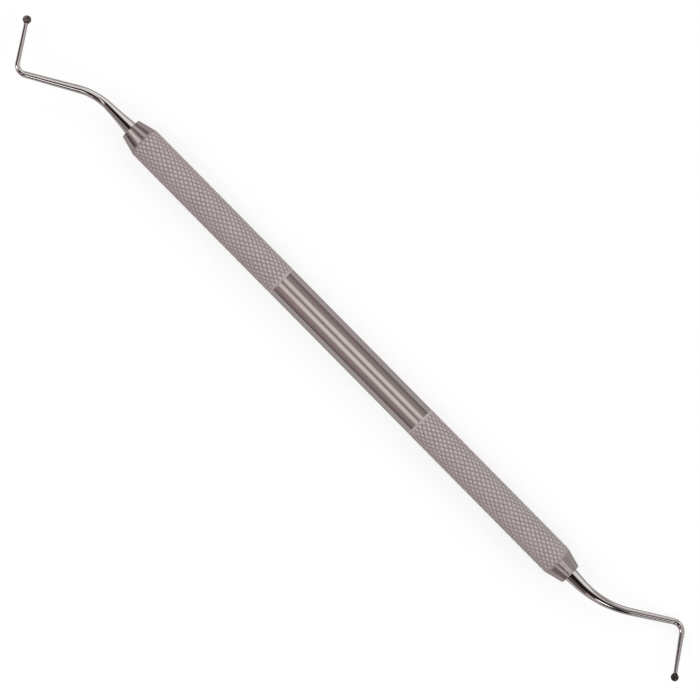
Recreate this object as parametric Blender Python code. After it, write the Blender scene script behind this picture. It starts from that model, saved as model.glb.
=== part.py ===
"""Double-ended dental excavator, at its real size, in metres with +Z up.

A turned handle with two diamond-knurled grips has a blind bore in each end. The tang of a
polished working end sits in each bore. A working end is one piece: tang, tapering shank,
first bend, straight stretch, elbow, slim arm, and a cupped disc with its edge all round.
The two shanks are bent in one plane to opposite sides, and their cups face opposite ways.
The instrument lies along X, on its handle and on the elbow of the right working end.
"""

import math
from dataclasses import dataclass

import bmesh
import bpy
from mathutils import Vector

# Handle, turned from one rod.
MIDDLE_DIAMETER = 0.0060
MIDDLE_LENGTH = 0.0353
GRIP_LENGTH = 0.0351
CONE_LENGTH = 0.0036
CONE_TIP_DIAMETER = 0.0041
CONE_TIP_CHAMFER = 0.00012
SHOULDER_ROUNDING = 0.0004

# Diamond knurl, rolled with crossing grooves.
KNURL_DIAMETER = 0.00606
KNURL_DEPTH = 0.0002
KNURL_PITCH = 0.0014
KNURL_STARTS = 21
KNURL_RUNOUT = 0.0002

# Seats of the working ends in the handle.
TANG_DIAMETER = 0.0026
TANG_LENGTH = 0.0090
TANG_CHAMFER = 0.0003
SEAT_CLEARANCE = 0.00005
BORE_END_ROOM = 0.0005
DRILL_POINT_LENGTH = 0.0006

# Left working end. Reaches run from corner to corner of the centre line, turns are in degrees.
LEFT_BEND_REACH = 0.00875
LEFT_BEND_TURN = 31.8
LEFT_BEND_RADIUS = 0.0115
LEFT_ELBOW_REACH = 0.0151
LEFT_ELBOW_TURN = 88.7
LEFT_ELBOW_RADIUS = 0.0018
LEFT_ARM_REACH = 0.01012
LEFT_WAIST_DIAMETER = 0.00142
LEFT_TAPER_POWER = 2.7
LEFT_ARM_DIAMETER = 0.00082
LEFT_NECK_DIAMETER = 0.00072
LEFT_BLADE_DIAMETER = 0.0016

# Right working end, bent by hand as the left one was, so its sizes differ a little.
RIGHT_BEND_REACH = 0.00785
RIGHT_BEND_TURN = 33.9
RIGHT_BEND_RADIUS = 0.0180
RIGHT_ELBOW_REACH = 0.0156
RIGHT_ELBOW_TURN = 90.2
RIGHT_ELBOW_RADIUS = 0.0019
RIGHT_ARM_REACH = 0.01006
RIGHT_WAIST_DIAMETER = 0.00138
RIGHT_TAPER_POWER = 1.6
RIGHT_ARM_DIAMETER = 0.00094
RIGHT_NECK_DIAMETER = 0.00070
RIGHT_BLADE_DIAMETER = 0.0015

# Shared by both working ends.
ELBOW_DIAMETER = 0.00115
BLADE_FLARE_RADIUS = 0.0006
BLADE_BACK_HEIGHT = 0.00045
BLADE_CUP_DEPTH = 0.00022
BLADE_RIM_WIDTH = 0.0001

# Fineness of the round forms.
SHANK_SIDES = 16
TAPER_STEPS = 4
BEND_STEPS = 5
STRAIGHT_STEPS = 3
ELBOW_STEPS = 8
FLARE_STEPS = 3
BLADE_STEPS = 9

# Worked out from the sizes above.
MIDDLE_RADIUS = MIDDLE_DIAMETER / 2
CONE_TIP_RADIUS = CONE_TIP_DIAMETER / 2
KNURL_RADIUS = KNURL_DIAMETER / 2
TANG_RADIUS = TANG_DIAMETER / 2
BORE_RADIUS = TANG_RADIUS + SEAT_CLEARANCE
BORE_DEPTH = TANG_LENGTH + BORE_END_ROOM
GRIP_START = MIDDLE_LENGTH / 2
GRIP_END = GRIP_START + GRIP_LENGTH
HANDLE_END = GRIP_END + CONE_LENGTH
HANDLE_SIDES = 2 * KNURL_STARTS


@dataclass
class Shank:
    """The sizes of one working end."""

    bend_reach: float
    bend_turn: float
    bend_radius: float
    elbow_reach: float
    elbow_turn: float
    elbow_radius: float
    arm_reach: float
    waist: float
    taper_power: float
    arm: float
    neck: float
    blade: float


@dataclass
class Station:
    """A point of a centre line, the way it heads there, and how far along the line it is."""

    point: Vector
    heading: float
    along: float
    radius: float = 0.0


def clear_scene():
    for thing in list(bpy.data.objects):
        bpy.data.objects.remove(thing, do_unlink=True)


def steel(name, colour, roughness):
    material = bpy.data.materials.new(name)
    material.use_nodes = True
    shader = material.node_tree.nodes["Principled BSDF"]
    shader.inputs["Base Color"].default_value = (*colour, 1.0)
    shader.inputs["Metallic"].default_value = 1.0
    shader.inputs["Roughness"].default_value = roughness
    return material


def close_end(mesh, ring, tip):
    """Closes a ring with a fan of triangles to one point."""
    centre = mesh.verts.new(tip)
    for first, second in zip(ring, ring[1:] + ring[:1]):
        mesh.faces.new((first, second, centre))


def bridge(mesh, near, far):
    """Joins two rings of equally many points."""
    for k, first in enumerate(near):
        after = (k + 1) % len(near)
        mesh.faces.new((first, near[after], far[after], far[k]))


def bridge_knurl(mesh, near, far, row):
    """Joins two rings of the knurl, with each square split along the groove that crosses it."""
    for k, first in enumerate(near):
        after = (k + 1) % len(near)
        second, third, fourth = near[after], far[after], far[k]
        if (row + k) % 2:
            mesh.faces.new((first, second, fourth))
            mesh.faces.new((second, third, fourth))
        else:
            mesh.faces.new((first, second, third))
            mesh.faces.new((first, third, fourth))


def finished(mesh, name, material, sharp_angle):
    """Turns the finished bmesh into a named object with smooth shading."""
    bmesh.ops.recalc_face_normals(mesh, faces=mesh.faces)
    data = bpy.data.meshes.new(name)
    mesh.to_mesh(data)
    mesh.free()
    data.shade_smooth()
    data.set_sharp_from_angle(angle=math.radians(sharp_angle))
    data.materials.append(material)
    piece = bpy.data.objects.new(name, data)
    bpy.context.scene.collection.objects.link(piece)
    return piece


def rounded(before, corner, after, steps):
    """Points of the curve that leaves one point towards the corner and arrives at the other from it."""
    for k in range(steps + 1):
        t = k / steps
        yield before * (1 - t) ** 2 + corner * 2 * t * (1 - t) + after * t**2


def plain_profile():
    """(x, radius) of the handle from the end of its knurl to the bottom of its bore."""
    slope = Vector((CONE_LENGTH, CONE_TIP_RADIUS - MIDDLE_RADIUS)).normalized()
    corner = Vector((GRIP_END, MIDDLE_RADIUS))
    tip = Vector((HANDLE_END, CONE_TIP_RADIUS))
    before = corner - Vector((SHOULDER_ROUNDING, 0))
    after = corner + slope * SHOULDER_ROUNDING
    yield from rounded(before, corner, after, 3)
    yield from rounded(tip - slope * CONE_TIP_CHAMFER, tip, tip - Vector((0, CONE_TIP_CHAMFER)), 2)
    yield Vector((HANDLE_END, BORE_RADIUS))
    yield Vector((HANDLE_END - BORE_DEPTH, BORE_RADIUS))


def handle_half(side):
    """Rings of one half of the handle, from its middle outwards, as (row, points) pairs."""
    angles = [math.tau * k / HANDLE_SIDES for k in range(HANDLE_SIDES)]

    def ring(x, radii):
        return [(side * x, r * math.cos(a), r * math.sin(a)) for r, a in zip(radii, angles)]

    yield None, ring(GRIP_START, [MIDDLE_RADIUS] * HANDLE_SIDES)
    knurl_start = GRIP_START + KNURL_RUNOUT
    knurl_length = GRIP_LENGTH - 2 * KNURL_RUNOUT - SHOULDER_ROUNDING
    rows = 2 * round(knurl_length / KNURL_PITCH)
    for row in range(rows + 1):
        heights = [KNURL_RADIUS - KNURL_DEPTH * ((row + k) % 2 == 0) for k in range(HANDLE_SIDES)]
        yield row, ring(knurl_start + knurl_length * row / rows, heights)
    for x, radius in plain_profile():
        yield None, ring(x, [radius] * HANDLE_SIDES)


def make_handle(material):
    """One closed skin from the bottom of the left bore to the bottom of the right one."""
    mesh = bmesh.new()
    middle_rings = []
    for side in (-1, 1):
        last_row = None
        last_ring = None
        for row, points in handle_half(side):
            ring = [mesh.verts.new(point) for point in points]
            if last_ring is None:
                middle_rings.append(ring)
            elif row is None or last_row is None:
                bridge(mesh, last_ring, ring)
            else:
                bridge_knurl(mesh, last_ring, ring, last_row)
            last_row = row
            last_ring = ring
        drill_point = HANDLE_END - BORE_DEPTH - DRILL_POINT_LENGTH
        close_end(mesh, last_ring, (side * drill_point, 0, 0))
    bridge(mesh, *middle_rings)
    return finished(mesh, "handle", material, 25)


def direction(heading):
    return Vector((math.cos(heading), math.sin(heading)))


def across(heading):
    """The direction to the left of a heading."""
    return Vector((-math.sin(heading), math.cos(heading)))


def arc(corner, heading, turn, radius, steps):
    """(point, heading) pairs along the arc that rounds a corner of the centre line."""
    left = math.copysign(1, turn)
    start = corner - direction(heading) * radius * math.tan(abs(turn) / 2)
    centre = start + across(heading) * left * radius
    for k in range(steps + 1):
        now = heading + turn * k / steps
        yield centre - across(now) * left * radius, now


def straight(start, end, heading, steps):
    """(point, heading) pairs between two points, without the points themselves."""
    for k in range(1, steps):
        yield start.lerp(end, k / steps), heading


def flare_start(shank):
    """How far before the blade's centre the neck starts to widen."""
    reach = shank.blade / 2 + BLADE_FLARE_RADIUS
    height = shank.neck / 2 + BLADE_FLARE_RADIUS
    return math.sqrt(reach**2 - height**2)


def centre_line(shank):
    """Stations from the tang's inner end to the start of the blade's flare, with their radii."""
    first_turn = math.radians(shank.bend_turn)
    second_turn = math.radians(shank.elbow_turn)
    arm_heading = first_turn - second_turn
    mouth = Vector((HANDLE_END, 0))
    bend = mouth + Vector((shank.bend_reach, 0))
    elbow = bend + direction(first_turn) * shank.elbow_reach
    blade_centre = elbow + direction(arm_heading) * shank.arm_reach
    neck = blade_centre - direction(arm_heading) * flare_start(shank)
    tang_end = mouth - Vector((TANG_LENGTH, 0))

    bend_arc = list(arc(bend, 0.0, first_turn, shank.bend_radius, BEND_STEPS))
    elbow_arc = list(arc(elbow, first_turn, -second_turn, shank.elbow_radius, ELBOW_STEPS))
    route = [(tang_end, 0.0), (tang_end + Vector((TANG_CHAMFER, 0)), 0.0), (mouth, 0.0)]
    route += straight(mouth, bend_arc[0][0], 0.0, TAPER_STEPS)
    route += bend_arc
    route += straight(bend_arc[-1][0], elbow_arc[0][0], first_turn, STRAIGHT_STEPS)
    route += elbow_arc
    route += straight(elbow_arc[-1][0], neck, arm_heading, STRAIGHT_STEPS)
    route.append((neck, arm_heading))

    stations = []
    along = -TANG_LENGTH
    for k, (point, heading) in enumerate(route):
        if k:
            along += (point - route[k - 1][0]).length
        stations.append(Station(point, heading, along))
    marks = [along_at(stations, spot[0]) for spot in (bend_arc[-1], elbow_arc[0], elbow_arc[-1])]
    for station in stations:
        station.radius = shank_radius(shank, station.along, *marks, along)
    stations[0].radius = TANG_RADIUS - TANG_CHAMFER
    return stations, blade_centre, arm_heading


def along_at(stations, point):
    return next(station.along for station in stations if (station.point - point).length < 1e-9)


def shank_radius(shank, along, bend_end, elbow_start, elbow_end, neck_end):
    """Radius of the shank: a hollow taper to the waist, then straight tapers to the neck."""
    if along <= 0:
        return TANG_RADIUS
    if along < bend_end:
        rest = (1 - along / bend_end) ** shank.taper_power
        return shank.waist / 2 + (TANG_RADIUS - shank.waist / 2) * rest
    tapers = (
        (bend_end, elbow_start, shank.waist, ELBOW_DIAMETER),
        (elbow_start, elbow_end, ELBOW_DIAMETER, shank.arm),
        (elbow_end, neck_end, shank.arm, shank.neck),
    )
    for start, end, wide, narrow in tapers:
        if along <= end:
            share = (along - start) / (end - start)
            return (wide + (narrow - wide) * share) / 2
    return shank.neck / 2


def blade_outline(shank):
    """(distance from the blade's centre, half width) along the arm, from the flare to near the tip."""
    blade_radius = shank.blade / 2
    neck_radius = shank.neck / 2
    start = flare_start(shank)
    flare_turn = math.atan2(start, neck_radius + BLADE_FLARE_RADIUS)
    for k in range(1, FLARE_STEPS + 1):
        angle = flare_turn * k / FLARE_STEPS
        width = neck_radius + BLADE_FLARE_RADIUS * (1 - math.cos(angle))
        yield BLADE_FLARE_RADIUS * math.sin(angle) - start, width
    joint = math.pi / 2 - flare_turn
    for k in range(1, BLADE_STEPS):
        angle = joint + (math.pi - joint) * k / BLADE_STEPS
        yield -blade_radius * math.cos(angle), blade_radius * math.sin(angle)


def back_height(distance, blade_radius):
    """Height of the blade's domed back, part of a ball, at a distance from the blade's centre."""
    ball = (blade_radius**2 + BLADE_BACK_HEIGHT**2) / (2 * BLADE_BACK_HEIGHT)
    inside = max(ball**2 - distance**2, 0.0)
    return max(math.sqrt(inside) - ball + BLADE_BACK_HEIGHT, 0.0)


def cup_height(distance, blade_radius):
    """Depth of the cup in the blade's face, inside its flat rim."""
    cup_radius = blade_radius - BLADE_RIM_WIDTH
    return BLADE_CUP_DEPTH * max(1 - (distance / cup_radius) ** 2, 0.0)


def blade_ring(shank, offset, width, centre, heading, cup_side):
    """A cross-section of the blade: round at the neck, domed behind and cupped in front further on."""
    blade_radius = shank.blade / 2
    start = -flare_start(shank)
    share = min((offset - start) / (-start - blade_radius / 3), 1.0)
    flatness = share * share * (3 - 2 * share)
    for k in range(SHANK_SIDES):
        angle = math.tau * k / SHANK_SIDES
        sideways = width * math.cos(angle)
        round_height = width * math.sin(angle)
        distance = math.hypot(offset, sideways)
        if math.sin(angle) > 1e-6:
            blade_height = back_height(distance, blade_radius)
        else:
            blade_height = cup_height(distance, blade_radius)
        if abs(math.sin(angle)) < 1e-6:
            blade_height = 0.0
        height = round_height + (blade_height - round_height) * flatness
        spot = centre + direction(heading) * offset + across(heading) * sideways
        yield (spot.x, spot.y, -cup_side * height)


def make_working_end(name, shank, cup_side, material):
    """One closed skin along the centre line. The end reaches towards +X and bends towards +Y."""
    stations, centre, heading = centre_line(shank)
    rings = []
    for station in stations:
        ring = []
        for k in range(SHANK_SIDES):
            angle = math.tau * k / SHANK_SIDES
            spot = station.point + across(station.heading) * station.radius * math.cos(angle)
            ring.append((spot.x, spot.y, -cup_side * station.radius * math.sin(angle)))
        rings.append(ring)
    for offset, width in blade_outline(shank):
        rings.append(list(blade_ring(shank, offset, width, centre, heading, cup_side)))

    mesh = bmesh.new()
    loops = [[mesh.verts.new(point) for point in ring] for ring in rings]
    for near, far in zip(loops, loops[1:]):
        bridge(mesh, near, far)
    close_end(mesh, loops[0], (*stations[0].point, 0))
    tip = centre + direction(heading) * shank.blade / 2
    close_end(mesh, loops[-1], (*tip, 0))
    return finished(mesh, name, material, 40)


def resting_roll(shank, axis_height):
    """How far the plane of the bends turns before the shank touches what the handle lies on."""
    stations = centre_line(shank)[0]
    outside = [station for station in stations if station.point.y > axis_height]
    return min(math.asin((axis_height - s.radius) / s.point.y) for s in outside)


def empty(name, parent=None):
    holder = bpy.data.objects.new(name, None)
    bpy.context.scene.collection.objects.link(holder)
    holder.parent = parent
    return holder


def set_down(holder, pieces):
    """Moves everything so that the origin is under the middle of the box around it."""
    bpy.context.view_layer.update()
    corners = [piece.matrix_world @ vertex.co for piece in pieces for vertex in piece.data.vertices]
    low = [min(corner[axis] for corner in corners) for axis in range(3)]
    high = [max(corner[axis] for corner in corners) for axis in range(3)]
    holder.location -= Vector(((low[0] + high[0]) / 2, (low[1] + high[1]) / 2, low[2]))
    bpy.context.view_layer.update()


def main():
    clear_scene()
    satin = steel("satin_steel", (0.46, 0.42, 0.41), 0.35)
    polished = steel("polished_steel", (0.62, 0.59, 0.58), 0.12)
    left = Shank(
        bend_reach=LEFT_BEND_REACH,
        bend_turn=LEFT_BEND_TURN,
        bend_radius=LEFT_BEND_RADIUS,
        elbow_reach=LEFT_ELBOW_REACH,
        elbow_turn=LEFT_ELBOW_TURN,
        elbow_radius=LEFT_ELBOW_RADIUS,
        arm_reach=LEFT_ARM_REACH,
        waist=LEFT_WAIST_DIAMETER,
        taper_power=LEFT_TAPER_POWER,
        arm=LEFT_ARM_DIAMETER,
        neck=LEFT_NECK_DIAMETER,
        blade=LEFT_BLADE_DIAMETER,
    )
    right = Shank(
        bend_reach=RIGHT_BEND_REACH,
        bend_turn=RIGHT_BEND_TURN,
        bend_radius=RIGHT_BEND_RADIUS,
        elbow_reach=RIGHT_ELBOW_REACH,
        elbow_turn=RIGHT_ELBOW_TURN,
        elbow_radius=RIGHT_ELBOW_RADIUS,
        arm_reach=RIGHT_ARM_REACH,
        waist=RIGHT_WAIST_DIAMETER,
        taper_power=RIGHT_TAPER_POWER,
        arm=RIGHT_ARM_DIAMETER,
        neck=RIGHT_NECK_DIAMETER,
        blade=RIGHT_BLADE_DIAMETER,
    )
    instrument = empty("instrument")
    bend_plane = empty("bend_plane", instrument)
    axis_height = KNURL_RADIUS * math.cos(math.pi / HANDLE_SIDES)
    bend_plane.rotation_euler.x = -resting_roll(right, axis_height)

    handle = make_handle(satin)
    handle.parent = instrument
    left_end = make_working_end("working_end_left", left, 1, polished)
    left_end.parent = bend_plane
    left_end.rotation_euler.z = math.pi
    right_end = make_working_end("working_end_right", right, -1, polished)
    right_end.parent = bend_plane
    set_down(instrument, (handle, left_end, right_end))


main()
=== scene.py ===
"""Looks of the double-ended dental excavator, in metres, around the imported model.

The handle is skinned again with every facet of its diamond knurl, and the working ends are
lofted again as smooth bent shanks with cupped disc blades. Steel finishes are procedural.
The instrument lies on a white table in a dim studio with soft boxes all round, and the camera
looks straight down.
"""

import math
from dataclasses import dataclass

import bpy
from mathutils import Matrix, Vector


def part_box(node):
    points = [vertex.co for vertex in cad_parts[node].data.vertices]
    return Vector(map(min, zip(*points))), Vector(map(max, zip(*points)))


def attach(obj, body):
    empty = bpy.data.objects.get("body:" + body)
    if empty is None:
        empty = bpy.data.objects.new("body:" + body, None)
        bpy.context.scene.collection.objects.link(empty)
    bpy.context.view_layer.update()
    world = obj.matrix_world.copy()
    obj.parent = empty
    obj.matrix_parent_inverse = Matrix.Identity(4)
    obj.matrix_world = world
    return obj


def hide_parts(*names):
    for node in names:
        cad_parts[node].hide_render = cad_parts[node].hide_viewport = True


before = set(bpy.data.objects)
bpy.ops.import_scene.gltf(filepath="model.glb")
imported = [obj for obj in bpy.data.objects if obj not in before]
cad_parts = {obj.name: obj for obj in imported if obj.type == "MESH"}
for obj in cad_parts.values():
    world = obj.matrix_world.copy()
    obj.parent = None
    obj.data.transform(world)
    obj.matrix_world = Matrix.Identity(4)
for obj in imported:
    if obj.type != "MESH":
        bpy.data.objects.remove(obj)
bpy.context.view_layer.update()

# Handle, turned from one rod.
MIDDLE_RADIUS = 0.0030
MIDDLE_LENGTH = 0.0353
GRIP_LENGTH = 0.0351
CONE_LENGTH = 0.0036
CONE_TIP_RADIUS = 0.00205
CONE_TIP_CHAMFER = 0.00012

# Diamond knurl, which fades in over its run-out and goes on for its run-on into the cone.
KNURL_RADIUS = 0.00303
KNURL_DEPTH = 0.00017
KNURL_PITCH = 0.00141
KNURL_STARTS = 21
KNURL_RUNOUT = 0.0007
KNURL_RUNON = 0.0006
KNURL_CREST_POWER = 2.6

# How far below the tops of the knurl its painted highlight begins and is full.
CREST_HIGHLIGHT_BEGINS = 0.00011
CREST_HIGHLIGHT_FULL = 0.00002

# Tiny pits in the smooth middle, painted dark as their shade without any dent, each as (x, y) from
# the middle of the handle.
PITS = ((0.0052, -0.0012), (-0.00706, 0.0001))
PIT_RADIUS = 0.0001
PIT_SOFTNESS = 0.3

# Seats of the working ends in the handle.
TANG_RADIUS = 0.0013
TANG_LENGTH = 0.0090
TANG_CHAMFER = 0.0003
SEAT_CLEARANCE = 0.00005
BORE_END_ROOM = 0.0005
DRILL_POINT_LENGTH = 0.0006

# Shared by both working ends.
ELBOW_DIAMETER = 0.00115
BLADE_FLARE_RADIUS = 0.0006
BLADE_BACK_HEIGHT = 0.00045
BLADE_CUP_DEPTH = 0.00022
BLADE_RIM_WIDTH = 0.0001

# How far before its centre the blade has its full form, in blade radii.
BLADE_FULL_FORM = 1 / 3

# Fineness of the round forms. The knurl has this many faces along half a pitch.
KNURL_FINENESS = 4
SHANK_SIDES = 64
TAPER_STEPS = 20
BEND_STEPS = 24
STRAIGHT_STEPS = 12
ELBOW_STEPS = 28
FLARE_STEPS = 10
BLADE_STEPS = 24
CHAMFER_STEPS = 4
MIDDLE_RINGS = 8
CONE_RINGS = 6

# How far from an edge a ring lies that keeps the shading beside it flat.
SUPPORT = 0.00008

# Edges with a sharper turn than this, in degrees, aren't shaded as round.
HANDLE_SHARP_ANGLE = 50.0
END_SHARP_ANGLE = 40.0

# Camera, straight above. The handle is off centre by a pixel or two and turned by these degrees.
PHOTO_SIZE = 700
METRES_PER_PIXEL = 0.00018
HANDLE_OFF_CENTRE = (1.45, -0.55)
HANDLE_TURN = 45.38
CAMERA_DISTANCE = 0.9
SENSOR_WIDTH = 36.0

# Steels, with their own tint, and colours that paint light and shade: highlights on the tops of the
# knurl, shade in its grooves, in the pits and on the blades.
GROUND_COLOUR = (0.32, 0.288, 0.283)
GROUND_ROUGHNESS = 0.12
CONE_COLOUR = (0.29, 0.25, 0.244)
CONE_ROUGHNESS = 0.24
# Painted highlight on the tops of the knurl, and painted shade in its grooves.
CREST_HIGHLIGHT_COLOUR = (0.6, 0.535, 0.529)
GROOVE_SHADE_COLOUR = (0.365, 0.315, 0.31)
KNURL_ROUGHNESS = 0.32
KNURL_METALLIC = 0.05
EDGE_TINT = (0.65, 0.62, 0.61)
KNURL_SPARKLE = 0.03
# Painted shade of the pits.
PIT_SHADE_COLOUR = (0.05, 0.04, 0.038)
POLISHED_COLOUR = (0.41, 0.383, 0.376)
POLISHED_ROUGHNESS = 0.07
POLISHED_EDGE_TINT = (0.1, 0.09, 0.09)
# Painted shade on the blades, darker on the right one.
LEFT_BLADE_SHADE = (0.13, 0.108, 0.104)
RIGHT_BLADE_SHADE = (0.045, 0.036, 0.034)
SHADED_BLADE_ROUGHNESS = 0.3
ROUGHNESS_SPREAD = 0.03

# Where the painted shade around a blade begins and is full, in blade radii from its centre.
BLADE_SHADE_BEGINS = 1.35
BLADE_SHADE_FULL = 0.95

# Noises, each with its stretch along X, Y and Z, its scale and its detail.
EVEN = (1.0, 1.0, 1.0)
TURNING_LINES = ((1.0, 0.02, 0.02), 9000.0, 3.0)
SATIN_CLOUD = (EVEN, 350.0, 4.0)
POLISHED_CLOUD = (EVEN, 500.0, 5.0)
TABLE_CLOUD = (EVEN, 4.0, 2.0)

# Height of the turning lines, and how strongly they show.
LINES_HEIGHT = 0.000002
LINES_STRENGTH = 0.12

# Values of a noise at which a cloudy colour is darkest and lightest, and how far it strays.
CLOUD_DARKEST = 0.3
CLOUD_LIGHTEST = 0.7
STEEL_SPREAD = 0.03
GROOVE_SHADE_SPREAD = 0.05
BLADE_SHADE_SPREAD = 0.1
TABLE_SPREAD = 0.02

# The room's own light, and the table's white, most of which is its own glow.
ROOM_COLOUR = (1.0, 0.78, 0.76)
ROOM_LIGHT = 0.03
TABLE_WHITE = 0.25
TABLE_GLOW = 0.798
TABLE_SIZE = 40.0

# Worked out from the sizes above.
BORE_RADIUS = TANG_RADIUS + SEAT_CLEARANCE
BORE_DEPTH = TANG_LENGTH + BORE_END_ROOM
GRIP_START = MIDDLE_LENGTH / 2
GRIP_END = GRIP_START + GRIP_LENGTH
HANDLE_END = GRIP_END + CONE_LENGTH
HANDLE_SIDES = 2 * KNURL_STARTS * KNURL_FINENESS


@dataclass
class Shank:
    """The sizes of one working end, with turns in degrees."""

    bend_reach: float
    bend_turn: float
    bend_radius: float
    elbow_reach: float
    elbow_turn: float
    elbow_radius: float
    arm_reach: float
    waist: float
    taper_power: float
    arm: float
    neck: float
    blade: float


@dataclass
class Station:
    """A point of a centre line, its heading and how far along it is, with the shank's radius."""

    point: Vector
    heading: float
    along: float
    radius: float = 0.0


@dataclass
class SoftBox:
    """A light far away, at a lean towards +Y and a tilt towards +X, in degrees from straight up."""

    lean: tuple
    lean_edge: float
    tilt: tuple
    tilt_edge: float
    light: float
    colour: tuple = (1.0, 1.0, 1.0)


WARM_GREY = (1.0, 0.84, 0.82)
COOL_WHITE = (0.93, 1.0, 1.0)

# Each with the ends and the soft edge of its lean and of its tilt, then its light and colour.
SOFT_BOXES = (
    # Over the handle: a narrow wall right across, and a brighter strip on each side.
    SoftBox((-40.0, 40.0), 80.0, (-1.5, 1.5), 2.2, 0.8, WARM_GREY),
    SoftBox((-27.0, -16.0), 14.0, (-1.5, 1.5), 2.2, 1.38, COOL_WHITE),
    SoftBox((18.0, 29.0), 14.0, (-1.5, 1.5), 2.2, 1.36, COOL_WHITE),
    # Windows beyond the handle, which brighten one side of the shanks.
    SoftBox((38.0, 85.0), 20.0, (-20.0, -6.0), 3.0, 1.6),
    SoftBox((45.0, 85.0), 22.0, (6.0, 12.0), 3.0, 1.6),
    SoftBox((50.0, 85.0), 20.0, (17.0, 50.0), 5.0, 0.75),
    # Dim walls in front of the handle, for the other side of the shanks.
    SoftBox((-66.0, -42.0), 12.0, (-17.0, -5.0), 4.0, 0.6, WARM_GREY),
    SoftBox((-62.0, -44.0), 12.0, (6.0, 18.0), 3.0, 0.27, WARM_GREY),
    # Past the left end of the handle, for its cone.
    SoftBox((-66.0, 66.0), 15.0, (-36.0, -22.0), 3.0, 0.25, WARM_GREY),
    SoftBox((-40.0, 0.0), 10.0, (-36.0, -22.0), 3.0, 0.7),
    SoftBox((-29.0, -20.0), 8.0, (-36.0, -22.0), 3.0, 1.1),
    SoftBox((31.0, 50.0), 8.0, (-36.0, -22.0), 3.0, 1.3),
    # Past the right end, for the other cone.
    SoftBox((-78.0, -50.0), 10.0, (19.0, 27.0), 3.0, 0.85, WARM_GREY),
    SoftBox((-42.0, -22.0), 3.0, (24.0, 31.0), 1.5, 3.2),
    SoftBox((-4.0, 5.0), 2.0, (29.5, 36.0), 1.5, 2.4),
    SoftBox((4.0, 34.0), 8.0, (26.0, 38.0), 3.0, 0.9),
    SoftBox((20.0, 29.0), 8.0, (26.0, 38.0), 3.0, 1.1),
    # Low at both ends, which brighten the knurl.
    SoftBox((25.0, 65.0), 8.0, (-78.0, -42.0), 5.0, 1.2),
    SoftBox((0.0, 55.0), 6.0, (42.0, 78.0), 5.0, 1.5),
    SoftBox((-68.0, -12.0), 8.0, (-48.0, -39.0), 3.0, 4.5),
    SoftBox((-60.0, -8.0), 8.0, (50.0, 78.0), 5.0, 3.0),
)

LEFT = Shank(
    bend_reach=0.00875,
    bend_turn=31.8,
    bend_radius=0.0115,
    elbow_reach=0.0151,
    elbow_turn=88.7,
    elbow_radius=0.0018,
    arm_reach=0.01012,
    waist=0.00142,
    taper_power=2.7,
    arm=0.00082,
    neck=0.00072,
    blade=0.0016,
)
RIGHT = Shank(
    bend_reach=0.00785,
    bend_turn=33.9,
    bend_radius=0.0180,
    elbow_reach=0.0156,
    elbow_turn=90.2,
    elbow_radius=0.0019,
    arm_reach=0.01006,
    waist=0.00138,
    taper_power=1.6,
    arm=0.00094,
    neck=0.00070,
    blade=0.0015,
)


def skin(name, rings, tips, splits, material, sharp_angle):
    """One closed mesh over rings of equally many points, with a fan to a tip at each end.

    For a row and place, splits gives None for a whole face and else picks the cut across it.
    """
    sides = len(rings[0])
    points = [point for ring in rings for point in ring]
    faces = []
    for row in range(len(rings) - 1):
        for k in range(sides):
            after = (k + 1) % sides
            near = row * sides
            far = near + sides
            square = (near + k, near + after, far + after, far + k)
            split = splits(row, k) if splits else None
            if split is None:
                faces.append(square)
            elif split:
                faces += [(square[0], square[1], square[2]), (square[0], square[2], square[3])]
            else:
                faces += [(square[0], square[1], square[3]), (square[1], square[2], square[3])]
    for tip, start in zip(tips, (0, len(points) - sides)):
        spot = len(points)
        points.append(tip)
        for k in range(sides):
            here = start + k
            after = start + (k + 1) % sides
            faces.append((after, here, spot) if start == 0 else (here, after, spot))
    data = bpy.data.meshes.new(name)
    data.from_pydata(points, [], faces)
    # The faces above turn inwards.
    data.flip_normals()
    data.shade_smooth()
    data.set_sharp_from_angle(angle=math.radians(sharp_angle))
    data.materials.append(material)
    piece = bpy.data.objects.new(name, data)
    bpy.context.scene.collection.objects.link(piece)
    return piece


def rounded(before, corner, after, steps):
    """Points of the curve that leaves one point towards the corner and comes from it to the other."""
    for k in range(steps + 1):
        t = k / steps
        yield before * (1 - t) ** 2 + corner * 2 * t * (1 - t) + after * t**2


def cone_radius(x):
    """Radius of the cone, and of its surface carried on over the grip, at x from the middle."""
    return MIDDLE_RADIUS + (CONE_TIP_RADIUS - MIDDLE_RADIUS) * (x - GRIP_END) / CONE_LENGTH


def plain_profile():
    """(x, radius) of the handle from the end of its knurl to the bottom of its bore."""
    slope = Vector((CONE_LENGTH, CONE_TIP_RADIUS - MIDDLE_RADIUS)).normalized()
    start = GRIP_END + KNURL_RUNON + SUPPORT
    tip = Vector((HANDLE_END, CONE_TIP_RADIUS))
    chamfer = tip - slope * CONE_TIP_CHAMFER
    for k in range(CONE_RINGS):
        yield Vector((start, cone_radius(start))).lerp(chamfer, k / CONE_RINGS)
    yield chamfer - slope * SUPPORT / 2
    yield from rounded(chamfer, tip, tip - Vector((0, CONE_TIP_CHAMFER)), CHAMFER_STEPS)
    yield Vector((HANDLE_END, CONE_TIP_RADIUS - CONE_TIP_CHAMFER - SUPPORT))
    yield Vector((HANDLE_END, BORE_RADIUS))
    yield Vector((HANDLE_END - BORE_DEPTH, BORE_RADIUS))


def groove_share(place):
    """0 in a groove and 1 halfway to the next, at a place counted in half pitches."""
    return 1 - abs(place % 2 - 1)


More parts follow.
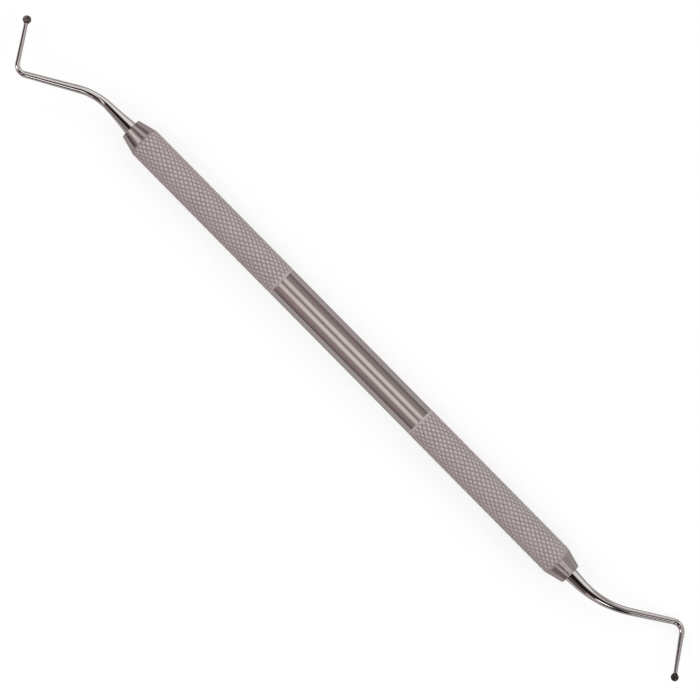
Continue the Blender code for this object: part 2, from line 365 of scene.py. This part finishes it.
def knurl_radius(x, row, column):
    """Radius of the knurl and its crossing grooves at a row and column, counted in half pitches."""
    share = min(groove_share(row + column), groove_share(row - column))
    full = KNURL_RADIUS - KNURL_DEPTH * (1 - share) ** KNURL_CREST_POWER
    fade = min((x - GRIP_START) / KNURL_RUNOUT, 1)
    return MIDDLE_RADIUS + (full - MIDDLE_RADIUS) * fade


def knurl_rows():
    """(x, row) of the rings of one knurled grip, outwards until the cone has cut off all of it."""
    length = GRIP_LENGTH + KNURL_RUNON
    count = round(2 * KNURL_FINENESS * length / KNURL_PITCH)
    for k in range(1, count + 1):
        yield GRIP_START + length * k / count, k / KNURL_FINENESS


def turned_ring(x, radius_at):
    """A ring of the handle, with a radius for each column of half pitches."""
    ring = []
    for k in range(HANDLE_SIDES):
        angle = math.tau * k / HANDLE_SIDES
        radius = radius_at(k / KNURL_FINENESS)
        ring.append((x, radius * math.cos(angle), radius * math.sin(angle)))
    return ring


def handle_half(side):
    """(ring, row of the knurl or None) of one half of the handle, from its middle outwards."""
    for k in range(1, MIDDLE_RINGS):
        x = (GRIP_START - SUPPORT) * k / (MIDDLE_RINGS - 1)
        yield turned_ring(side * x, lambda column: MIDDLE_RADIUS), None
    yield turned_ring(side * GRIP_START, lambda column: MIDDLE_RADIUS), None
    for x, row in knurl_rows():
        cut = cone_radius(x)
        yield turned_ring(side * x, lambda column: min(knurl_radius(x, row, column), cut)), row
    for x, radius in plain_profile():
        yield turned_ring(side * x, lambda column: radius), None


def make_handle(material):
    """The handle from the bottom of its left bore to the bottom of its right one, along X."""
    left = list(handle_half(-1))
    right = list(handle_half(1))
    whole = left[::-1] + right
    rows = [row for ring, row in whole]

    def splits(place, k):
        """Cuts the knurl's faces along its grooves, and nothing else."""
        near, far = rows[place], rows[place + 1]
        if near is None or far is None:
            return None
        square = (math.floor(min(near, far)) + k // KNURL_FINENESS) % 2 == 0
        return square if far > near else not square

    bottom = HANDLE_END - BORE_DEPTH - DRILL_POINT_LENGTH
    tips = ((-bottom, 0, 0), (bottom, 0, 0))
    rings = [ring for ring, row in whole]
    return skin("handle_turned", rings, tips, splits, material, HANDLE_SHARP_ANGLE)


def direction(heading):
    """The direction of a heading in the plane of the bends."""
    return Vector((math.cos(heading), math.sin(heading)))


def across(heading):
    """The direction to the left of a heading."""
    return Vector((-math.sin(heading), math.cos(heading)))


def arc(corner, heading, turn, radius, steps):
    """(point, heading) pairs along the arc that rounds a corner of the centre line."""
    left = math.copysign(1, turn)
    start = corner - direction(heading) * radius * math.tan(abs(turn) / 2)
    centre = start + across(heading) * left * radius
    for k in range(steps + 1):
        now = heading + turn * k / steps
        yield centre - across(now) * left * radius, now


def straight(start, end, heading, steps):
    """(point, heading) pairs between two points, without the points themselves."""
    for k in range(1, steps):
        yield start.lerp(end, k / steps), heading


def flare_start(shank):
    """How far before the blade's centre the neck starts to widen."""
    reach = shank.blade / 2 + BLADE_FLARE_RADIUS
    height = shank.neck / 2 + BLADE_FLARE_RADIUS
    return math.sqrt(reach**2 - height**2)


def centre_line(shank):
    """Stations from the tang's inner end to the start of the blade's flare, with their radii."""
    first_turn = math.radians(shank.bend_turn)
    second_turn = math.radians(shank.elbow_turn)
    arm_heading = first_turn - second_turn
    mouth = Vector((HANDLE_END, 0))
    bend = mouth + Vector((shank.bend_reach, 0))
    elbow = bend + direction(first_turn) * shank.elbow_reach
    blade_centre = elbow + direction(arm_heading) * shank.arm_reach
    neck = blade_centre - direction(arm_heading) * flare_start(shank)
    tang_end = mouth - Vector((TANG_LENGTH, 0))

    bend_arc = list(arc(bend, 0.0, first_turn, shank.bend_radius, BEND_STEPS))
    elbow_arc = list(arc(elbow, first_turn, -second_turn, shank.elbow_radius, ELBOW_STEPS))
    route = [(tang_end, 0.0), (tang_end + Vector((TANG_CHAMFER, 0)), 0.0), (mouth, 0.0)]
    route += straight(mouth, bend_arc[0][0], 0.0, TAPER_STEPS)
    route += bend_arc
    bend_end = len(route) - 1
    route += straight(bend_arc[-1][0], elbow_arc[0][0], first_turn, STRAIGHT_STEPS)
    elbow_start = len(route)
    route += elbow_arc
    elbow_end = len(route) - 1
    route += straight(elbow_arc[-1][0], neck, arm_heading, STRAIGHT_STEPS)
    route.append((neck, arm_heading))

    stations = []
    along = -TANG_LENGTH
    for k, (point, heading) in enumerate(route):
        if k:
            along += (point - route[k - 1][0]).length
        stations.append(Station(point, heading, along))
    marks = [stations[k].along for k in (bend_end, elbow_start, elbow_end)]
    for station in stations:
        station.radius = shank_radius(shank, station.along, *marks, along)
    stations[0].radius = TANG_RADIUS - TANG_CHAMFER
    return stations, blade_centre, arm_heading


def shank_radius(shank, along, bend_end, elbow_start, elbow_end, neck_end):
    """Radius of the shank: a hollow taper to the waist, then straight tapers to the neck."""
    if along <= 0:
        return TANG_RADIUS
    if along < bend_end:
        rest = (1 - along / bend_end) ** shank.taper_power
        return shank.waist / 2 + (TANG_RADIUS - shank.waist / 2) * rest
    tapers = (
        (bend_end, elbow_start, shank.waist, ELBOW_DIAMETER),
        (elbow_start, elbow_end, ELBOW_DIAMETER, shank.arm),
        (elbow_end, neck_end, shank.arm, shank.neck),
    )
    for start, end, wide, narrow in tapers:
        if along <= end:
            share = (along - start) / (end - start)
            return (wide + (narrow - wide) * share) / 2
    return shank.neck / 2


def blade_outline(shank):
    """(place along the arm from the blade's centre, half width), from the flare to near the tip."""
    blade_radius = shank.blade / 2
    neck_radius = shank.neck / 2
    start = flare_start(shank)
    flare_turn = math.atan2(start, neck_radius + BLADE_FLARE_RADIUS)
    for k in range(1, FLARE_STEPS + 1):
        angle = flare_turn * k / FLARE_STEPS
        width = neck_radius + BLADE_FLARE_RADIUS * (1 - math.cos(angle))
        yield BLADE_FLARE_RADIUS * math.sin(angle) - start, width
    joint = math.pi / 2 - flare_turn
    for k in range(1, BLADE_STEPS):
        angle = joint + (math.pi - joint) * k / BLADE_STEPS
        yield -blade_radius * math.cos(angle), blade_radius * math.sin(angle)


def back_height(distance, blade_radius):
    """Height of the blade's domed back, part of a ball, at a distance from the blade's centre."""
    ball = (blade_radius**2 + BLADE_BACK_HEIGHT**2) / (2 * BLADE_BACK_HEIGHT)
    inside = max(ball**2 - distance**2, 0.0)
    return max(math.sqrt(inside) - ball + BLADE_BACK_HEIGHT, 0.0)


def cup_height(distance, blade_radius):
    """Depth of the cup in the blade's face, inside its flat rim."""
    cup_radius = blade_radius - BLADE_RIM_WIDTH
    return BLADE_CUP_DEPTH * max(1 - (distance / cup_radius) ** 2, 0.0)


def blade_ring(shank, offset, width, centre, heading, cup_side):
    """A section of the blade: round at the neck, and domed behind and cupped in front further on."""
    blade_radius = shank.blade / 2
    start = -flare_start(shank)
    full_form = -blade_radius * BLADE_FULL_FORM
    share = min((offset - start) / (full_form - start), 1.0)
    flatness = share * share * (3 - 2 * share)
    half_round = SHANK_SIDES // 2
    for k in range(SHANK_SIDES):
        angle = math.tau * k / SHANK_SIDES
        sideways = width * math.cos(angle)
        round_height = width * math.sin(angle)
        distance = math.hypot(offset, sideways)
        if k % half_round == 0:
            blade_height = 0.0
        elif k < half_round:
            blade_height = back_height(distance, blade_radius)
        else:
            blade_height = cup_height(distance, blade_radius)
        height = round_height + (blade_height - round_height) * flatness
        spot = centre + direction(heading) * offset + across(heading) * sideways
        yield (spot.x, spot.y, -cup_side * height)


def make_working_end(name, shank, cup_side, material):
    """One closed skin along the centre line, which reaches towards +X and bends towards +Y.

    The cup faces up with a cup_side of 1 and down with -1.
    """
    stations, centre, heading = centre_line(shank)
    rings = []
    for station in stations:
        ring = []
        for k in range(SHANK_SIDES):
            angle = math.tau * k / SHANK_SIDES
            spot = station.point + across(station.heading) * station.radius * math.cos(angle)
            ring.append((spot.x, spot.y, -cup_side * station.radius * math.sin(angle)))
        rings.append(ring)
    for offset, width in blade_outline(shank):
        rings.append(list(blade_ring(shank, offset, width, centre, heading, cup_side)))
    tip = centre + direction(heading) * shank.blade / 2
    tips = ((*stations[0].point, 0), (*tip, 0))
    return skin(name, rings, tips, None, material, END_SHARP_ANGLE)


def resting_roll(shank, axis_height):
    """How far the plane of the bends turns before the shank touches what the handle lies on."""
    stations = centre_line(shank)[0]
    outside = [station for station in stations if station.point.y > axis_height]
    return min(math.asin((axis_height - s.radius) / s.point.y) for s in outside)


def node(tree, kind, **settings):
    """A shader node with its properties and, for names that aren't properties, its inputs set."""
    made = tree.nodes.new(kind)
    for name, value in settings.items():
        if hasattr(made, name):
            setattr(made, name, value)
        else:
            made.inputs[name].default_value = value
    return made


def maths(tree, operation, first, second=None):
    """A Math node over sockets or numbers, as its output socket."""
    made = tree.nodes.new("ShaderNodeMath")
    made.operation = operation
    for socket, value in zip(made.inputs, (first, second)):
        if value is None:
            continue
        if isinstance(value, bpy.types.NodeSocket):
            tree.links.new(value, socket)
        else:
            socket.default_value = value
    return made.outputs[0]


def shade(colour, strength):
    """The colour, darker or lighter."""
    return tuple(part * strength for part in colour)


def cloudy(tree, noise, colour, spread):
    """The colour, a little darker and lighter with a noise, as its output socket."""
    made = node(tree, "ShaderNodeValToRGB")
    stops = ((CLOUD_DARKEST, 1 - spread), (CLOUD_LIGHTEST, 1 + spread))
    for element, (place, strength) in zip(made.color_ramp.elements, stops):
        element.position = place
        element.color = (*shade(colour, strength), 1.0)
    tree.links.new(noise, made.inputs["Fac"])
    return made.outputs["Color"]


def ease(tree, value, begins, ends):
    """A smooth step up between two values, or down where the second is lower, as its socket."""
    made = node(tree, "ShaderNodeMapRange", interpolation_type="SMOOTHSTEP")
    made.inputs["From Min"].default_value = min(begins, ends)
    made.inputs["From Max"].default_value = max(begins, ends)
    made.inputs["To Min"].default_value = 0.0 if begins < ends else 1.0
    made.inputs["To Max"].default_value = 1.0 if begins < ends else 0.0
    tree.links.new(value, made.inputs["Value"])
    return made.outputs["Result"]


def within(tree, value, low, high, edge):
    """1 from one value to another, and 0 beyond a soft edge on each side."""
    rise = ease(tree, value, low - edge, low)
    fall = ease(tree, value, high + edge, high)
    return maths(tree, "MULTIPLY", rise, fall)


def steel(name, colour, roughness):
    """A Principled metal, its node tree and its shader."""
    material = bpy.data.materials.new(name)
    material.use_nodes = True
    tree = material.node_tree
    shader = tree.nodes["Principled BSDF"]
    shader.inputs["Base Color"].default_value = (*colour, 1.0)
    shader.inputs["Metallic"].default_value = 1.0
    shader.inputs["Roughness"].default_value = roughness
    return material, tree, shader


def stretched_noise(tree, stretch, scale, detail):
    """Noise over the piece, with its own scale along each axis."""
    place = node(tree, "ShaderNodeTexCoord")
    mapping = node(tree, "ShaderNodeMapping")
    mapping.inputs["Scale"].default_value = stretch
    noise = node(tree, "ShaderNodeTexNoise", Scale=scale, Detail=detail)
    tree.links.new(place.outputs["Object"], mapping.inputs["Vector"])
    tree.links.new(mapping.outputs["Vector"], noise.inputs["Vector"])
    return noise.outputs["Fac"]


def unevenly(tree, rough, noise):
    """A roughness that strays a little with a noise around its middle value of a half."""
    stray = maths(tree, "MULTIPLY", maths(tree, "SUBTRACT", noise, 0.5), ROUGHNESS_SPREAD)
    return maths(tree, "ADD", rough, stray)


def bump(tree, height, distance, strength, shader):
    """Lets a noise roughen the shader's surface, by so much height."""
    made = node(tree, "ShaderNodeBump", Strength=strength, Distance=distance)
    tree.links.new(height, made.inputs["Height"])
    tree.links.new(made.outputs["Normal"], shader.inputs["Normal"])


def from_point(tree, point):
    """Distance of the surface from a point of the world, where every mesh lies already."""
    place = node(tree, "ShaderNodeTexCoord")
    distance = node(tree, "ShaderNodeVectorMath", operation="DISTANCE")
    distance.inputs[1].default_value = point
    tree.links.new(place.outputs["Object"], distance.inputs[0])
    return distance.outputs["Value"]


def handle_places(tree, middle):
    """How far the surface is from the middle of the handle along its axis, and from the axis."""
    place = node(tree, "ShaderNodeTexCoord")
    parts = node(tree, "ShaderNodeSeparateXYZ")
    tree.links.new(place.outputs["Object"], parts.inputs["Vector"])
    along = maths(tree, "ABSOLUTE", maths(tree, "SUBTRACT", parts.outputs["X"], middle.x))
    sideways = maths(tree, "SUBTRACT", parts.outputs["Y"], middle.y)
    height = maths(tree, "SUBTRACT", parts.outputs["Z"], middle.z)
    squares = [maths(tree, "MULTIPLY", length, length) for length in (sideways, height)]
    return along, maths(tree, "SQRT", maths(tree, "ADD", *squares))


def blend(tree, factor, low, high):
    """Goes between two colours, or sockets with colours, as its output socket."""
    mix = node(tree, "ShaderNodeMix", data_type="RGBA")
    tree.links.new(factor, mix.inputs["Factor"])
    # The node's sockets for colours share their names with others, so they go by number.
    for socket, value in ((mix.inputs[6], low), (mix.inputs[7], high)):
        if isinstance(value, bpy.types.NodeSocket):
            tree.links.new(value, socket)
        else:
            socket.default_value = (*value, 1.0)
    return mix.outputs[2]


def painted_pit_shade(tree, middle):
    """1 in the painted shade of the tiny pits of the smooth middle and 0 around them."""
    total = None
    for x, y in PITS:
        spot = middle + Vector((x, y, math.sqrt(MIDDLE_RADIUS**2 - y**2)))
        outside = PIT_RADIUS * (1 + PIT_SOFTNESS)
        inside = PIT_RADIUS * (1 - PIT_SOFTNESS)
        pit = ease(tree, from_point(tree, spot), outside, inside)
        total = pit if total is None else maths(tree, "MAXIMUM", total, pit)
    return total


def satin_steel(middle):
    """Stainless steel, finely ground on the middle and the cones and blasted on the grips, with a
    painted highlight on the tops of the knurl and painted shade in its grooves and pits.
    """
    material, tree, shader = steel("satin_steel", GROUND_COLOUR, GROUND_ROUGHNESS)
    along, radius = handle_places(tree, middle)
    begun = ease(tree, along, GRIP_START - SUPPORT, GRIP_START + SUPPORT)
    ended = ease(tree, along, GRIP_END + KNURL_RUNON, GRIP_END + KNURL_RUNON / 2)
    grips = maths(tree, "MULTIPLY", begun, ended)
    cones = ease(tree, along, GRIP_END, GRIP_END + KNURL_RUNON)
    # The tops of the knurl get a painted highlight and its grooves painted shade, by distance from
    # the axis.
    crest_highlight = ease(tree, radius, KNURL_RADIUS - CREST_HIGHLIGHT_BEGINS, KNURL_RADIUS - CREST_HIGHLIGHT_FULL)
    lines = stretched_noise(tree, *TURNING_LINES)
    cloud = stretched_noise(tree, *SATIN_CLOUD)

    ground = cloudy(tree, cloud, GROUND_COLOUR, STEEL_SPREAD)
    # The pits are painted dark, as their shade.
    ground = blend(tree, painted_pit_shade(tree, middle), ground, PIT_SHADE_COLOUR)
    grooves = cloudy(tree, cloud, GROOVE_SHADE_COLOUR, GROOVE_SHADE_SPREAD)
    plain = blend(tree, cones, ground, CONE_COLOUR)
    knurled = blend(tree, crest_highlight, grooves, CREST_HIGHLIGHT_COLOUR)
    tree.links.new(blend(tree, grips, plain, knurled), shader.inputs["Base Color"])

    matt = maths(tree, "MULTIPLY", grips, 1 - KNURL_METALLIC)
    tree.links.new(maths(tree, "SUBTRACT", 1.0, matt), shader.inputs["Metallic"])

    rough = maths(tree, "MULTIPLY", grips, KNURL_ROUGHNESS - GROUND_ROUGHNESS)
    rougher = maths(tree, "MULTIPLY", cones, CONE_ROUGHNESS - GROUND_ROUGHNESS)
    rough = maths(tree, "ADD", maths(tree, "ADD", rough, rougher), GROUND_ROUGHNESS)
    tree.links.new(unevenly(tree, rough, lines), shader.inputs["Roughness"])
    bump(tree, lines, LINES_HEIGHT, LINES_STRENGTH, shader)
    shader.inputs["Specular Tint"].default_value = (*EDGE_TINT, 1.0)
    shader.inputs["Specular IOR Level"].default_value = KNURL_SPARKLE
    return material


def polished_steel(name, blade_centre, blade_radius, blade_shade):
    """Mirror-polished stainless steel, very slightly uneven, with painted shade on the blade."""
    material, tree, shader = steel(name, POLISHED_COLOUR, POLISHED_ROUGHNESS)
    cloud = stretched_noise(tree, *POLISHED_CLOUD)
    distance = from_point(tree, blade_centre)
    near = ease(tree, distance, blade_radius * BLADE_SHADE_BEGINS, blade_radius * BLADE_SHADE_FULL)

    # Around the blade the steel is painted dark as shade, and is rougher.
    bright = cloudy(tree, cloud, POLISHED_COLOUR, STEEL_SPREAD)
    shaded_blade = cloudy(tree, cloud, blade_shade, BLADE_SHADE_SPREAD)
    tree.links.new(blend(tree, near, bright, shaded_blade), shader.inputs["Base Color"])

    rough = maths(tree, "MULTIPLY", near, SHADED_BLADE_ROUGHNESS - POLISHED_ROUGHNESS)
    rough = maths(tree, "ADD", rough, POLISHED_ROUGHNESS)
    tree.links.new(unevenly(tree, rough, cloud), shader.inputs["Roughness"])
    shader.inputs["Specular Tint"].default_value = (*POLISHED_EDGE_TINT, 1.0)
    return material


def make_floor():
    """A matt white table. Most of its white is its own glow, so the shadows on it stay pale."""
    half = TABLE_SIZE / 2
    data = bpy.data.meshes.new("floor")
    corners = [(-half, -half, 0), (half, -half, 0), (half, half, 0), (-half, half, 0)]
    data.from_pydata(corners, [], [(0, 1, 2, 3)])
    material = bpy.data.materials.new("white_table")
    material.use_nodes = True
    tree = material.node_tree
    shader = tree.nodes["Principled BSDF"]
    shader.inputs["Roughness"].default_value = 1.0
    shader.inputs["Specular IOR Level"].default_value = 0.0
    shader.inputs["Emission Color"].default_value = (1.0, 1.0, 1.0, 1.0)
    cloud = stretched_noise(tree, *TABLE_CLOUD)
    white = cloudy(tree, cloud, (TABLE_WHITE,) * 3, TABLE_SPREAD)
    tree.links.new(white, shader.inputs["Base Color"])
    path = node(tree, "ShaderNodeLightPath")
    seen = maths(tree, "MAXIMUM", path.outputs["Is Camera Ray"], path.outputs["Is Glossy Ray"])
    seen = maths(tree, "MAXIMUM", seen, path.outputs["Is Transmission Ray"])
    tree.links.new(maths(tree, "MULTIPLY", seen, TABLE_GLOW), shader.inputs["Emission Strength"])
    data.materials.append(material)
    floor = bpy.data.objects.new("floor", data)
    bpy.context.scene.collection.objects.link(floor)


def make_studio():
    """A dark room with soft boxes, far away in every direction above the table."""
    world = bpy.data.worlds.new("studio")
    bpy.context.scene.world = world
    world.use_nodes = True
    tree = world.node_tree
    place = node(tree, "ShaderNodeTexCoord")
    parts = node(tree, "ShaderNodeSeparateXYZ")
    tree.links.new(place.outputs["Generated"], parts.inputs["Vector"])
    lean = maths(tree, "ARCTAN2", parts.outputs["Y"], parts.outputs["Z"])
    lean = maths(tree, "DEGREES", lean)
    tilt = maths(tree, "DEGREES", maths(tree, "ARCSINE", parts.outputs["X"]))
    total = None
    for box in SOFT_BOXES:
        share = within(tree, lean, *box.lean, box.lean_edge)
        share = maths(tree, "MULTIPLY", share, within(tree, tilt, *box.tilt, box.tilt_edge))
        light = node(tree, "ShaderNodeVectorMath", operation="SCALE")
        light.inputs[0].default_value = shade(box.colour, box.light)
        tree.links.new(share, light.inputs["Scale"])
        both = node(tree, "ShaderNodeVectorMath", operation="ADD")
        tree.links.new(light.outputs[0], both.inputs[0])
        if total is None:
            both.inputs[1].default_value = shade(ROOM_COLOUR, ROOM_LIGHT)
        else:
            tree.links.new(total, both.inputs[1])
        total = both.outputs[0]
    tree.links.new(total, tree.nodes["Background"].inputs["Color"])


def make_camera(aim):
    """The camera, straight above, turned so that the handle runs down to the right."""
    across_photo = PHOTO_SIZE * METRES_PER_PIXEL
    data = bpy.data.cameras.new("camera")
    data.sensor_width = SENSOR_WIDTH
    data.lens = SENSOR_WIDTH * CAMERA_DISTANCE / across_photo
    camera = bpy.data.objects.new("camera", data)
    bpy.context.scene.collection.objects.link(camera)
    off_x, off_y = (pixels * METRES_PER_PIXEL for pixels in HANDLE_OFF_CENTRE)
    camera.location = aim + Vector((-off_x, -off_y, CAMERA_DISTANCE))
    camera.rotation_euler.z = math.radians(HANDLE_TURN)
    bpy.context.scene.camera = camera


def dress(piece, node_name, place):
    """Puts a piece in its place, to stand for a node and move with it."""
    piece.data.transform(place)
    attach(piece, "root")
    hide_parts(node_name)


def main():
    low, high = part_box("handle")
    middle = (low + high) / 2
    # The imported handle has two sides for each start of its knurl, and lies on one of them.
    axis_height = KNURL_RADIUS * math.cos(math.pi / (2 * KNURL_STARTS))
    lying = Matrix.Translation(middle)
    bent = lying @ Matrix.Rotation(-resting_roll(RIGHT, axis_height), 4, "X")
    turned_round = Matrix.Rotation(math.pi, 4, "Z")

    dress(make_handle(satin_steel(middle)), "handle", lying)
    ends = (
        ("left", LEFT, 1, LEFT_BLADE_SHADE, bent @ turned_round),
        ("right", RIGHT, -1, RIGHT_BLADE_SHADE, bent),
    )
    for side, shank, cup_side, blade_shade, place in ends:
        blade_centre = place @ centre_line(shank)[1].to_3d()
        polished = polished_steel(f"polished_steel_{side}", blade_centre, shank.blade / 2, blade_shade)
        end = make_working_end(f"working_end_{side}_polished", shank, cup_side, polished)
        dress(end, f"working_end_{side}", place)

    make_floor()
    make_studio()
    make_camera(middle)
    bpy.context.scene.view_settings.view_transform = "Standard"


main()
